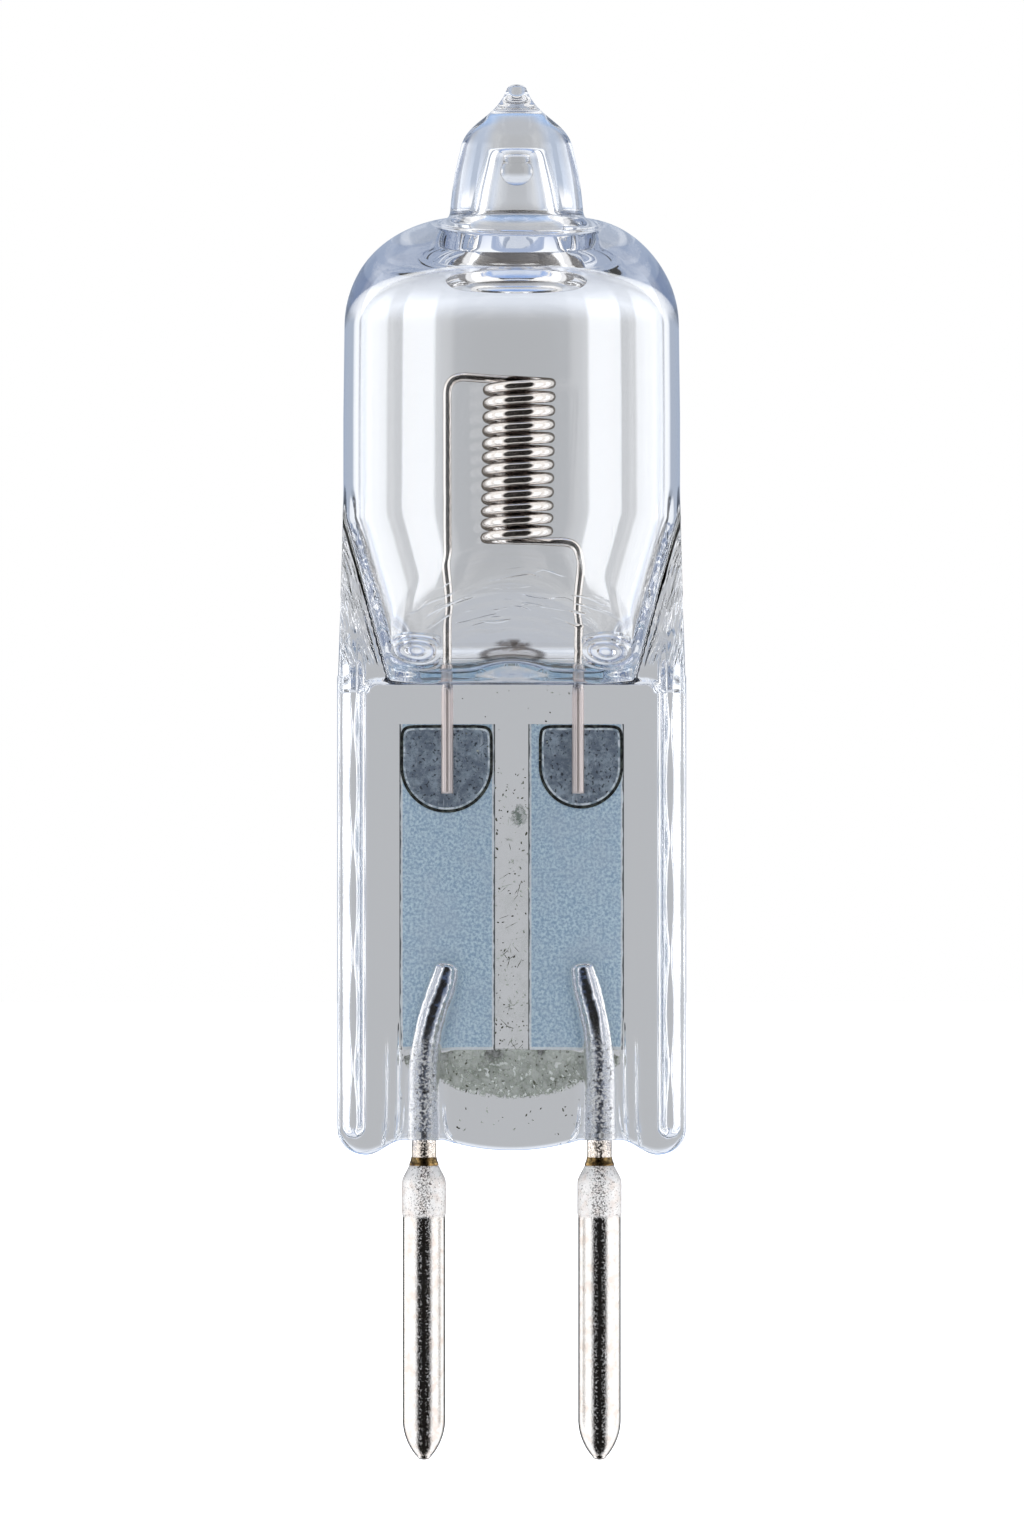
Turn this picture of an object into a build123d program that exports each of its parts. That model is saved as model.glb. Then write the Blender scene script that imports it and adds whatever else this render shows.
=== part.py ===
from build123d import *
import os

os.makedirs("parts", exist_ok=True)

# Two-pin halogen capsule lamp, in millimetres.
# +Z runs up the lamp, and the flat faces of the pinch look along -Y (front) and +Y (back).
# Z = 0 is the top of the pins' contact wall, and X = 0 is midway between the pins.

# Contact pins
pin_spacing = 6.35  # between the pins' axes
pin_radius = 0.77
pin_length = 7.4  # contact wall, below Z = 0
pin_point_length = 1.34  # tapered end
pin_point_radius = 0.25
pin_point_round = 0.11
collar_radius = 0.81  # at the top of the matte length, which narrows to the contact wall
collar_length = 1.12
pin_shoulder_height = 0.69
pin_mouth_radius = 0.54
pin_socket_depth = 1.3  # blind bore for the lead
lead_clearance = 0.015  # between a lead and its pin's bore

# Brazed joint between lead and pin
braze_radius = 0.51
braze_height = 0.29

# Main heights of the envelope, each measured up from the one before
pinch_lift = 2.21  # from Z = 0 to the feet of the pinch
pinch_length = 17.29
throat_length = 5.85  # where the pinch widens to the round wall
wall_length = 3.45
dome_height = 7.25
stub_height = 2.48
tip_height = 2.18

# Outer leads: straight, then leaning in towards the foil
lead_radius = 0.447
lead_overlap = 3.14  # length of lead that lies on the foil
lead_bend_rise = 0.32  # from the foil's lower edge
lead_kink_rise = 2.22
lead_kink_x = {"left": 2.52, "right": 2.70}
lead_top_x = {"left": 2.28, "right": 2.50}
lead_bend_radius = 2.4
lead_end_chamfer = 0.2
lead_flat = 0.12  # ground off the back of each lead where it lies on its foil

# Sealing foils
foil_width = 3.46
foil_length = 11.78
foil_thickness = 0.05
foil_corner = 0.1
foil_center_x = 2.33
foil_rise = 3.77  # from the feet of the pinch

# Weld tabs on the fronts of the foils
tab_width = {"left": 3.35, "right": 3.05}
tab_straight = 1.5  # above the round lower end
tab_inset = 0.03  # from the foil's outer and top edges
tab_thickness = 0.08

# Filament
coil_radius = 1.15  # to the middle of the strand
coil_strand_radius = 0.17
coil_strand_sides = 8
coil_turns = 12
coil_pitch = 0.496
coil_drop = 0.93  # from the lower end of the round wall
coil_x = 0.23
leg_radius = 0.13
leg_tuck = 0.12  # length of leg inside the coil's end
leg_corner_x = {"left": 2.36, "right": 2.51}
leg_foot_x = {"left": 2.33, "right": 2.40}
leg_weld_length = 2.48  # length of leg that lies on its tab
leg_foot_rise = 0.75  # straight length above the glass, before the leg leans back to the coil
leg_corner_round = 0.4
leg_lean_round = 1.5
leg_seat = 0.03  # depth of a leg's groove in its weld tab

# Bulb
bulb_radius = 6.09
bulb_wall = 0.61
crown_wall = 0.65
crown_taper = 0.09  # the flank leans in by this much at the crown
crown_round = 3.9
cavity_sag = 1.55  # from the middle of the cavity's crown to its corner
cavity_round = 2.3

# Exhaust stub, a little off the lamp's axis
stub_offset = 0.18
stub_radius = 2.44
stub_sink = 0.45  # root of the stub, below the crown
stub_shoulder_radius = 2.04
stub_swell = 0.05  # outward bow of the stub's wall
stub_fillet = 0.3
nipple_radius = 0.36
nipple_round = 0.19
cone_flare = 0.43  # the tip's cone is a curve, set by its handles at both ends
cone_drop = 1.08
cone_tuck = 0.16
cone_rise = 1.02
bore_mouth_radius = 1.65
bore_neck_radius = 1.36
bore_end_radius = 0.6
bore_neck_rise = 0.5  # from the cavity's crown
bore_length = 1.85  # above the neck
bore_round = 0.45
lip_radius = 0.5  # bead around the bore's mouth inside the bulb
lip_height = 1.3  # below the cavity's crown
lip_chamfer = 0.3

# Throat: the round wall narrows between the fins, and its front and back slope in to the pinch
throat_half_width = 4.49  # at its lower end
throat_half_depth = 1.7
throat_slope_height = 3.83  # from its lower end to where the slopes reach the round wall's depth
throat_wall = 0.8  # along Y, through the slopes
throat_round = 1.2  # where the slopes meet the round wall
throat_cavity_round = 0.8
cavity_floor = 0.18  # from the throat's lower end to the bottom of the cavity
cavity_floor_round = 1.15  # height of the cavity's rounded floor

# Pinch
pinch_half_width = 6.3
pinch_side_round = 0.6
web_half_depth = 1.12
fin_half_depth = 1.3  # above the window
fin_length = 6.5  # above the pinch, where its sides lean in along the bulb
fin_top_half_width = 5.9  # inside the round wall
window_half_width = 5.23
window_head = 0.23  # from the window's upper edge to the top of the pinch
window_top_round = 0.36
bar_middle_x = 5.72  # raised bar along each side of the window
bar_half_width = 0.385
bar_lift = 0.695  # from the feet of the pinch
bar_rise = 1.1  # above the top of the pinch
bar_height = 0.43  # from the web
bar_lean = 29  # degrees, of the bar's flanks
foot_round = 0.95
foot_middle_x = 5.25
valley_rise = 0.54  # edge of the glass around each lead
valley_half_width = 0.72
middle_rise = 0.16
rib_radius = 1.31

# Worked-out heights
pin_top = collar_length + pin_shoulder_height
lead_bottom = pin_top - pin_socket_depth
pinch_top = pinch_lift + pinch_length
wall_bottom = pinch_top + throat_length
flank_bottom = wall_bottom + wall_length
crown_height = flank_bottom + dome_height
stub_shoulder = crown_height + stub_height
nipple_height = stub_shoulder + tip_height
stub_root_height = crown_height - stub_sink
cavity_crown = crown_height - crown_wall
bore_neck_height = cavity_crown + bore_neck_rise
bore_end_height = bore_neck_height + bore_length
cavity_corner = cavity_crown - cavity_sag
fin_top = pinch_top + fin_length
window_top = pinch_top - window_head
throat_bottom = window_top
cavity_bottom = throat_bottom + cavity_floor
cavity_floor_top = cavity_bottom + cavity_floor_round
bar_bottom = pinch_lift + bar_lift
bar_top = pinch_top + bar_rise
valley_height = pinch_lift + valley_rise
middle_bottom = pinch_lift + middle_rise
foil_bottom = pinch_lift + foil_rise
foil_top = foil_bottom + foil_length
foil_middle = foil_bottom + foil_length / 2
tab_top = foil_top - tab_inset
leg_foot_end = tab_top - leg_weld_length
leg_foot_top = cavity_bottom + leg_foot_rise
coil_bottom = wall_bottom - coil_drop
coil_top = coil_bottom + coil_turns * coil_pitch

# Worked-out depths
foil_front = lead_radius - lead_flat
tab_front = foil_front - tab_thickness
leg_foot_y = tab_front + leg_seat - leg_radius
cavity_radius = bulb_radius - bulb_wall
throat_slope = (bulb_radius - throat_half_depth) / throat_slope_height
throat_top_depth = throat_half_depth + throat_slope * (wall_bottom - throat_bottom)
floor_half_depth = throat_half_depth + throat_slope * (cavity_floor_top - throat_bottom) - throat_wall
sides = {"left": -1, "right": 1}
embedded = []


def upright(x):
    return Plane(origin=(x, 0, 0), x_dir=(1, 0, 0), z_dir=(0, -1, 0))


def facing(y):
    return Plane(origin=(0, y, 0), x_dir=(1, 0, 0), z_dir=(0, -1, 0))


def level(z):
    return Plane(origin=(0, 0, z), x_dir=(0, 1, 0), z_dir=(0, 0, 1))


# Contact pins and braze rings
for side, sign in sides.items():
    pin_x = sign * pin_spacing / 2
    pin_axis = Axis((pin_x, 0, 0), (0, 0, 1))
    point_end = -pin_length - pin_point_length
    with BuildPart() as pin:
        with BuildSketch(upright(pin_x)):
            with BuildLine():
                Line((0, pin_top), (pin_mouth_radius, pin_top))
                TangentArc(
                    (collar_radius, collar_length),
                    (pin_mouth_radius, pin_top),
                    tangent=(0, 1),
                )
                Polyline(
                    (collar_radius, collar_length),
                    (pin_radius, 0),
                    (pin_radius, -pin_length),
                )
                TangentArc(
                    (pin_radius, -pin_length),
                    (pin_point_radius, point_end),
                    tangent=(0, -1),
                )
                TangentArc(
                    (0, point_end - pin_point_round),
                    (pin_point_radius, point_end),
                    tangent=(1, 0),
                )
                Line((0, point_end - pin_point_round), (0, pin_top))
            make_face()
        revolve(axis=pin_axis)
        with BuildSketch(Plane.XY.offset(pin_top)):
            with Locations((pin_x, 0)):
                Circle(lead_radius + lead_clearance)
        extrude(amount=-pin_socket_depth, mode=Mode.SUBTRACT)
    pin.part.label = f"pin_{side}"
    export_step(pin.part, f"parts/pin_{side}.step")

    with BuildPart() as braze_ring:
        with BuildSketch(Plane.XY.offset(pin_top)):
            with Locations((pin_x, 0)):
                Circle(braze_radius)
                Circle(lead_radius, mode=Mode.SUBTRACT)
        extrude(amount=braze_height)
        chamfer(
            braze_ring.edges().group_by(Axis.Z)[-1].sort_by(SortBy.RADIUS)[-1],
            (braze_radius - lead_radius) / 2,
        )
    braze_ring.part.label = f"braze_ring_{side}"
    export_step(braze_ring.part, f"parts/braze_ring_{side}.step")

# Outer leads
for side, sign in sides.items():
    pin_x = sign * pin_spacing / 2
    with BuildPart() as lead:
        with BuildLine(Plane.XZ) as route:
            FilletPolyline(
                (pin_x, lead_bottom),
                (pin_x, foil_bottom + lead_bend_rise),
                (sign * lead_kink_x[side], foil_bottom + lead_kink_rise),
                (sign * lead_top_x[side], foil_bottom + lead_overlap),
                radius=lead_bend_radius,
            )
        with BuildSketch(Plane(origin=route.line @ 0, z_dir=route.line % 0)):
            Circle(lead_radius)
        sweep()
        chamfer(lead.faces().sort_by(Axis.Z)[-1].edges(), lead_end_chamfer)
        with BuildSketch(facing(foil_front)):
            with Locations((sign * foil_center_x, foil_middle)):
                Rectangle(foil_width, foil_length)
        extrude(amount=-lead_radius, mode=Mode.SUBTRACT)
    lead.part.label = f"lead_{side}"
    export_step(lead.part, f"parts/lead_{side}.step")
    embedded.append(lead.part)

# Sealing foils
for side, sign in sides.items():
    with BuildPart() as foil:
        with BuildSketch(facing(foil_front)) as foil_face:
            with Locations((sign * foil_center_x, foil_middle)):
                Rectangle(foil_width, foil_length)
            fillet(foil_face.vertices().group_by(Axis.Y)[-1], foil_corner)
        extrude(amount=-foil_thickness)
    foil.part.label = f"foil_{side}"
    export_step(foil.part, f"parts/foil_{side}.step")
    embedded.append(foil.part)

# Weld tabs: square above, round below, with a groove for the filament's leg
for side, sign in sides.items():
    tab_x = sign * (foil_center_x + foil_width / 2 - tab_inset - tab_width[side] / 2)
    leg_x = sign * leg_foot_x[side]
    with BuildPart() as weld_tab:
        with BuildSketch(facing(foil_front)):
            with Locations((tab_x, tab_top - tab_straight / 2)):
                Rectangle(tab_width[side], tab_straight)
            with Locations((tab_x, tab_top - tab_straight)):
                Circle(tab_width[side] / 2)
            with Locations((tab_x, tab_top + tab_width[side] / 2)):
                Rectangle(tab_width[side], tab_width[side], mode=Mode.SUBTRACT)
        extrude(amount=tab_thickness)
        with BuildSketch(Plane.XY.offset(leg_foot_end)):
            with Locations((leg_x, leg_foot_y)):
                Circle(leg_radius)
        extrude(amount=foil_top - leg_foot_end, mode=Mode.SUBTRACT)
    weld_tab.part.label = f"weld_tab_{side}"
    export_step(weld_tab.part, f"parts/weld_tab_{side}.step")
    embedded.append(weld_tab.part)

# Filament: a right-hand coil whose ends leave its back in opposite directions
winding = Location((coil_x, 0, coil_bottom), (0, 0, 90)) * Helix(
    pitch=coil_pitch, height=coil_turns * coil_pitch, radius=coil_radius
)
with BuildPart() as filament:
    with BuildSketch(Plane(origin=winding @ 0, z_dir=winding % 0)):
        RegularPolygon(coil_strand_radius, coil_strand_sides)
    sweep(path=winding, is_frenet=True)
    for side, sign in sides.items():
        coil_end = coil_top if side == "left" else coil_bottom
        with BuildLine() as leg_route:
            FilletPolyline(
                (coil_x - sign * leg_tuck, coil_radius, coil_end),
                (sign * leg_corner_x[side], coil_radius, coil_end),
                (sign * leg_foot_x[side], leg_foot_y, leg_foot_top),
                (sign * leg_foot_x[side], leg_foot_y, leg_foot_end),
                radius=[leg_corner_round, leg_lean_round],
            )
        with BuildSketch(Plane(origin=leg_route.line @ 0, z_dir=leg_route.line % 0)):
            Circle(leg_radius)
        sweep(path=leg_route.line)
filament.part.label = "filament"
export_step(filament.part, "parts/filament.step")

# Raised bars on the front and back of the pinch
with BuildPart() as bars:
    with BuildSketch(facing(-web_half_depth)):
        for sign in sides.values():
            with Locations((sign * bar_middle_x, (bar_bottom + bar_top) / 2)):
                SlotOverall(bar_top - bar_bottom, 2 * bar_half_width, rotation=90)
    extrude(amount=bar_height, taper=bar_lean)
    mirror(about=Plane.XZ)

# Pinch of the envelope: a thin web between the fins and the feet, with a rib over each lead
with BuildPart() as pinch:
    valley_out = pin_spacing / 2 + valley_half_width
    valley_in = pin_spacing / 2 - valley_half_width
    with BuildSketch(Plane.XY.offset(pinch_lift)):
        RectangleRounded(2 * pinch_half_width, 2 * fin_half_depth, pinch_side_round)
    extrude(amount=fin_top - pinch_lift)
    with BuildSketch(facing(0)):
        with BuildLine():
            Line((0, fin_top), (fin_top_half_width, fin_top))
            TangentArc(
                (pinch_half_width, pinch_top),
                (fin_top_half_width, fin_top),
                tangent=(0, 1),
            )
            Line((pinch_half_width, pinch_top), (pinch_half_width, pinch_lift + foot_round))
            TangentArc(
                (pinch_half_width, pinch_lift + foot_round),
                (foot_middle_x, pinch_lift),
                tangent=(0, -1),
            )
            TangentArc((foot_middle_x, pinch_lift), (valley_out, valley_height), tangent=(-1, 0))
            Line((valley_out, valley_height), (valley_in, valley_height))
            TangentArc((0, middle_bottom), (valley_in, valley_height), tangent=(1, 0))
            mirror(about=Plane.YZ)
        make_face()
    extrude(amount=2 * fin_half_depth, both=True, mode=Mode.INTERSECT)
    for face in (1, -1):
        with BuildSketch(facing(-face * web_half_depth)) as window:
            with Locations((0, (window_top + pinch_lift) / 2)):
                Rectangle(2 * window_half_width, window_top - pinch_lift)
            fillet(window.vertices().group_by(Axis.Y)[-1], window_top_round)
            with Locations((0, (window_top - window_top_round + pinch_lift) / 2)):
                Rectangle(2 * pinch_half_width, window_top - window_top_round - pinch_lift)
        extrude(amount=face * fin_half_depth, mode=Mode.SUBTRACT)
    add(bars.part)
    for side, sign in sides.items():
        with BuildLine(Plane.XZ) as rib_route:
            FilletPolyline(
                (sign * pin_spacing / 2, valley_height),
                (sign * pin_spacing / 2, foil_bottom + lead_bend_rise),
                (sign * lead_kink_x[side], foil_bottom + lead_kink_rise),
                radius=lead_bend_radius,
            )
        with BuildSketch(Plane(origin=rib_route.line @ 0, z_dir=rib_route.line % 0)):
            Circle(rib_radius)
        sweep()
        with Locations(rib_route.line @ 1):
            Sphere(rib_radius)

# Throat, pressed flat towards the pinch
with BuildPart() as throat:
    with BuildSketch(level(wall_bottom)):
        Circle(bulb_radius)
    with BuildSketch(level(throat_bottom)):
        Ellipse(bulb_radius, throat_half_width)
    loft(ruled=True)
    with BuildSketch(Plane.YZ):
        Polygon(
            (-throat_half_depth, throat_bottom),
            (throat_half_depth, throat_bottom),
            (throat_top_depth, wall_bottom),
            (-throat_top_depth, wall_bottom),
            align=None,
        )
    extrude(amount=pinch_half_width, both=True, mode=Mode.INTERSECT)
    slopes = throat.faces().filter_by(GeomType.PLANE).filter_by(Axis.Z, reverse=True)
    fillet(slopes.edges().filter_by(GeomType.LINE, reverse=True), throat_round)

# Lower end of the cavity, between the throat's walls
with BuildPart() as throat_cavity:
    with BuildSketch(level(wall_bottom)):
        Circle(cavity_radius)
    with BuildSketch(level(throat_bottom)):
        Ellipse(cavity_radius, throat_half_width - bulb_wall)
    loft(ruled=True)
    with BuildSketch(Plane.YZ):
        with BuildLine():
            ThreePointArc(
                (-floor_half_depth, cavity_floor_top),
                (0, cavity_bottom),
                (floor_half_depth, cavity_floor_top),
            )
            Polyline(
                (floor_half_depth, cavity_floor_top),
                (throat_top_depth - throat_wall, wall_bottom),
                (throat_wall - throat_top_depth, wall_bottom),
                (-floor_half_depth, cavity_floor_top),
            )
        make_face()
    extrude(amount=pinch_half_width, both=True, mode=Mode.INTERSECT)
    slopes = throat_cavity.faces().filter_by(GeomType.PLANE).filter_by(Axis.Z, reverse=True)
    fillet(slopes.edges().filter_by(GeomType.LINE, reverse=True), throat_cavity_round)

# Glass envelope: stub, dome, round wall and throat over the pinch, all one piece of glass
with BuildPart() as glass_envelope:
    with BuildSketch(upright(0)):
        with BuildLine():
            FilletPolyline(
                (0, crown_height),
                (bulb_radius - crown_taper, crown_height),
                (bulb_radius, flank_bottom),
                radius=crown_round,
            )
            Polyline(
                (bulb_radius, flank_bottom),
                (bulb_radius, wall_bottom),
                (0, wall_bottom),
                (0, crown_height),
            )
        make_face()
    revolve(axis=Axis.Z)
    with BuildSketch(upright(stub_offset)):
        with BuildLine():
            TangentArc(
                (0, nipple_height + nipple_round),
                (nipple_radius, nipple_height),
                tangent=(1, 0),
            )
            Bezier(
                (nipple_radius, nipple_height),
                (nipple_radius + cone_flare, nipple_height - cone_drop),
                (stub_shoulder_radius - cone_tuck, stub_shoulder + cone_rise),
                (stub_shoulder_radius, stub_shoulder),
            )
            SagittaArc(
                (stub_shoulder_radius, stub_shoulder),
                (stub_radius, stub_root_height),
                stub_swell,
            )
            Polyline(
                (stub_radius, stub_root_height),
                (0, stub_root_height),
                (0, nipple_height + nipple_round),
            )
        make_face()
    revolve(axis=Axis((stub_offset, 0, 0), (0, 0, 1)))
    stub_root = glass_envelope.edges(Select.NEW).sort_by(Axis.Z)[0]
    fillet(stub_root, stub_fillet)
    add(throat.part)
    add(pinch.part)

    # Cavity: dome and wall, throat, and the exhaust bore with its bead
    with BuildSketch(upright(0)):
        with BuildLine():
            FilletPolyline(
                (0, cavity_crown),
                (cavity_radius, cavity_corner),
                (cavity_radius, wall_bottom),
                radius=cavity_round,
            )
            Polyline((cavity_radius, wall_bottom), (0, wall_bottom), (0, cavity_crown))
        make_face()
    revolve(axis=Axis.Z, mode=Mode.SUBTRACT)
    add(throat_cavity.part, mode=Mode.SUBTRACT)
    lip_middle = bore_mouth_radius + lip_radius
    with BuildSketch(upright(stub_offset)) as lip:
        with Locations((lip_middle, cavity_crown - lip_height)):
            Rectangle(2 * lip_radius, lip_height + crown_wall / 2, align=(Align.CENTER, Align.MIN))
        chamfer(lip.vertices().group_by(Axis.Y)[0], lip_chamfer)
    revolve(axis=Axis((stub_offset, 0, 0), (0, 0, 1)))
    with BuildSketch(upright(stub_offset)):
        with BuildLine():
            Polyline(
                (0, bore_end_height + bore_round),
                (0, cavity_crown - lip_height),
                (bore_mouth_radius, cavity_crown - lip_height),
                (bore_mouth_radius, cavity_crown),
                (bore_neck_radius, bore_neck_height),
                (bore_end_radius, bore_end_height),
            )
            TangentArc(
                (0, bore_end_height + bore_round),
                (bore_end_radius, bore_end_height),
                tangent=(1, 0),
            )
        make_face()
    revolve(axis=Axis((stub_offset, 0, 0), (0, 0, 1)), mode=Mode.SUBTRACT)

    # Seal: the glass is fused round every piece that it holds
    for side, sign in sides.items():
        with BuildSketch(Plane.XY.offset(leg_foot_end)):
            with Locations((sign * leg_foot_x[side], leg_foot_y)):
                Circle(leg_radius)
        extrude(amount=leg_foot_top - leg_foot_end, mode=Mode.SUBTRACT)
    for piece in embedded:
        add(piece, mode=Mode.SUBTRACT)
glass_envelope.part.label = "glass_envelope"
export_step(glass_envelope.part, "parts/glass_envelope.step")
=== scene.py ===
import bpy
import random
from math import (
    acos, asin, atan2, copysign, cos, degrees, exp, hypot, pi, radians, sin, sqrt, tan)
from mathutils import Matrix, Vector


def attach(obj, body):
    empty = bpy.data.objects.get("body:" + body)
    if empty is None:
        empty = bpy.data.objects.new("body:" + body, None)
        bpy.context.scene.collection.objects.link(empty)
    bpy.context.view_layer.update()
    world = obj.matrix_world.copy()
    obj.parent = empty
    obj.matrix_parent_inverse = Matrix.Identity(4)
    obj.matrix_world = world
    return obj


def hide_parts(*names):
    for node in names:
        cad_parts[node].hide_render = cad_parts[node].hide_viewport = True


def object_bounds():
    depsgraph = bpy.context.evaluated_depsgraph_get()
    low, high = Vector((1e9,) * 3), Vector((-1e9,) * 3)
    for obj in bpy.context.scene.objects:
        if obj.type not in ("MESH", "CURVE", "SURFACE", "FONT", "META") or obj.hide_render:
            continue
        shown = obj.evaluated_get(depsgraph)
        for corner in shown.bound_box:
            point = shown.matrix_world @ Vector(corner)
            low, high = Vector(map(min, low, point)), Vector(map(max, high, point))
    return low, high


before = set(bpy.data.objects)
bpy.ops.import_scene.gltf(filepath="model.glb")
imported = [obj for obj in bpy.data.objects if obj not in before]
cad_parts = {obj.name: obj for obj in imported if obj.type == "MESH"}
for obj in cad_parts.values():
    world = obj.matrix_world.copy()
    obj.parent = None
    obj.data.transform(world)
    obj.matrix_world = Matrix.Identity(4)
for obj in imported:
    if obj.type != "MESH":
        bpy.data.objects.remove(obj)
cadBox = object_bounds()
print("frame loaded, box", cadBox)

mm = 0.001  # sizes below are in millimetres, meshes in metres
sides = (("left", -1), ("right", 1))


class Form(dict):  # a piece's dictionary of sizes and colours, read as form.name
    __getattr__ = dict.__getitem__


# mesh helpers

def clearSelection():
    if bpy.context.mode != "OBJECT":
        bpy.ops.object.mode_set(mode="OBJECT")
    bpy.ops.object.select_all(action="DESELECT")


def makeActive(piece):
    clearSelection()
    piece.select_set(True)
    bpy.context.view_layer.objects.active = piece


def editAll():
    bpy.ops.object.mode_set(mode="EDIT")
    bpy.ops.mesh.select_all(action="SELECT")


def mergeDoubles(distance, inward=False):
    editAll()
    bpy.ops.mesh.remove_doubles(threshold=distance)
    bpy.ops.mesh.normals_make_consistent(inside=inward)
    bpy.ops.object.mode_set(mode="OBJECT")


def finishPiece(piece, name, nodes, material):
    piece.name = name
    piece.data.name = name
    piece.data.materials.clear()
    piece.data.materials.append(material)
    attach(piece, "root")
    if nodes:
        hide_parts(*nodes)
    print("made", name, len(piece.data.polygons), "faces")


# numbers and outlines

def smoothStep(value, low, high):
    t = min(1.0, max(0.0, (value - low) / (high - low)))
    return t * t * (3 - 2 * t)


def mixed(a, b, t):
    return a + (b - a) * t


def hill(offset, width):  # 1 in the middle, falling to 0 on both sides
    return exp(-(offset / width) ** 2)


def softMax(a, b, blend):
    return 0.5 * (a + b + sqrt((a - b) ** 2 + blend * blend))


def softMin(a, b, blend):  # rounded only where the two are close
    reach = 2 * min(blend, a)
    near = max(0, 1 - abs(a - b) / reach) if reach > 0 else 0
    return min(a, b) - near * near * reach / 4


def arc(center, radius, fromAngle, toAngle, count):
    points = []
    for n in range(1, count + 1):
        angle = radians(mixed(fromAngle, toAngle, n / count))
        points.append((center[0] + radius[0] * cos(angle), center[1] + radius[1] * sin(angle)))
    return points


def line(start, end, count):
    return [tuple(mixed(a, b, n / count) for a, b in zip(start, end)) for n in range(1, count + 1)]


def bezier(a, b, c, d, count):
    points = []
    for n in range(1, count + 1):
        t = n / count
        w = ((1 - t) ** 3, 3 * t * (1 - t) ** 2, 3 * t * t * (1 - t), t ** 3)
        points.append(tuple(sum(k * p[i] for k, p in zip(w, (a, b, c, d))) for i in range(2)))
    return points


# shader maths: a socket with operators

def operator(operation, swapped=False):
    def apply(self, other):
        return self.math(operation, other, self) if swapped else self.math(operation, self, other)
    return apply


class Sock:
    def __init__(self, tree, socket):
        self.tree = tree
        self.socket = socket

    def add(self, kind, settings=None, out=0, **values):
        node = self.tree.nodes.new(kind)
        for key, value in (settings or {}).items():
            setattr(node, key, value)
        for key, value in values.items():
            place = int(key[1:]) if key[0] == "i" and key[1:].isdigit() else key.replace("_", " ")
            if isinstance(value, Sock):
                self.tree.links.new(value.socket, node.inputs[place])
            else:
                node.inputs[place].default_value = value
        return Sock(self.tree, node.outputs[out])

    def math(self, operation, *others):
        values = {f"i{n}": v for n, v in enumerate(others)}
        return self.add("ShaderNodeMath", {"operation": operation}, **values)

    __add__, __radd__ = operator("ADD"), operator("ADD", True)
    __sub__, __rsub__ = operator("SUBTRACT"), operator("SUBTRACT", True)
    __mul__, __truediv__, __gt__ = operator("MULTIPLY"), operator("DIVIDE"), operator("GREATER_THAN")

    def __abs__(self):
        return self.math("ABSOLUTE", self)

    def away(self, other):  # distance from zero of two coordinates
        return self.math("SQRT", self * self + other * other)

    def step(self, low, high):  # soft step from 0 at low to 1 at high
        settings = {"interpolation_type": "SMOOTHSTEP"}
        return self.add("ShaderNodeMapRange", settings, Value=self, From_Min=low, From_Max=high)

    def between(self, low, full, fading, gone):  # soft band
        return self.step(low, full) - self.step(fading, gone)

    def tint(self, first, second):  # colour between two, by this value
        settings = {"data_type": "RGBA"}
        return self.add("ShaderNodeMix", settings, out=2, i0=self, i6=first, i7=second)

    def axes(self, scale=1 / mm):  # the three coordinates, in millimetres
        node = self.tree.nodes.new("ShaderNodeSeparateXYZ")
        self.tree.links.new(self.socket, node.inputs[0])
        return [Sock(self.tree, socket) * scale for socket in node.outputs]

    def noise(self, scale, detail, roughness=0.5):
        return self.add("ShaderNodeTexNoise", Vector=self, Scale=scale, Detail=detail, Roughness=roughness)

    def bump(self, strength, depth):
        return self.add("ShaderNodeBump", Height=self, Strength=strength, Distance=depth * mm)


def newMaterial(name):
    material = bpy.data.materials.new(name)
    material.use_nodes = True
    tree = material.node_tree
    return material, Sock(tree, tree.nodes.new("ShaderNodeTexCoord").outputs["Object"])


def feed(material, **values):
    shader = material.node_tree.nodes["Principled BSDF"]
    for key, value in values.items():
        socket = shader.inputs[key.replace("_", " ")]
        if isinstance(value, Sock):
            value.tree.links.new(value.socket, socket)
        else:
            socket.default_value = value
    return material


def layered(form, color, layers):  # the form's colours one over the other, each by its mask
    for mask, name in layers:
        color = mask.tint(color, form[name])
    return color


def grainMaterial(name, grain, share, colors, metallic, rough, bump=None):  # two colours by one noise
    material, place = newMaterial(name)
    noise = place.noise(*grain)
    feed(material, Base_Color=noise.step(*share).tint(*colors), Metallic=metallic,
         Roughness=noise * rough[1] + rough[0])
    if bump:
        feed(material, Normal=noise.bump(*bump))
    return material


# camera and studio

photo = Form(
    wide=1024, high=1536,
    axisX=511.7,      # pixel column of the lamp's axis
    zeroY=1215,       # pixel row of the pins' shoulder line, at Z = 0
    scale=0.03618,    # millimetres for one pixel
    lens=200.0, sensor=36.0, clip=(0.01, 10),
)


def makeCamera():
    frameHigh = photo.high * photo.scale
    distance = frameHigh * photo.lens / photo.sensor
    centerX = (photo.wide / 2 - photo.axisX) * photo.scale
    centerZ = (photo.zeroY - photo.high / 2) * photo.scale
    data = bpy.data.cameras.new("photoCamera")
    data.lens = photo.lens
    data.sensor_width = photo.sensor
    data.sensor_fit = "AUTO"
    data.clip_start, data.clip_end = photo.clip
    camera = bpy.data.objects.new("photoCamera", data)
    bpy.context.collection.objects.link(camera)
    camera.location = (centerX * mm, -distance * mm, centerZ * mm)
    camera.rotation_euler = (radians(90), 0, 0)
    bpy.context.scene.camera = camera
    print("camera at", tuple(camera.location))


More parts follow.
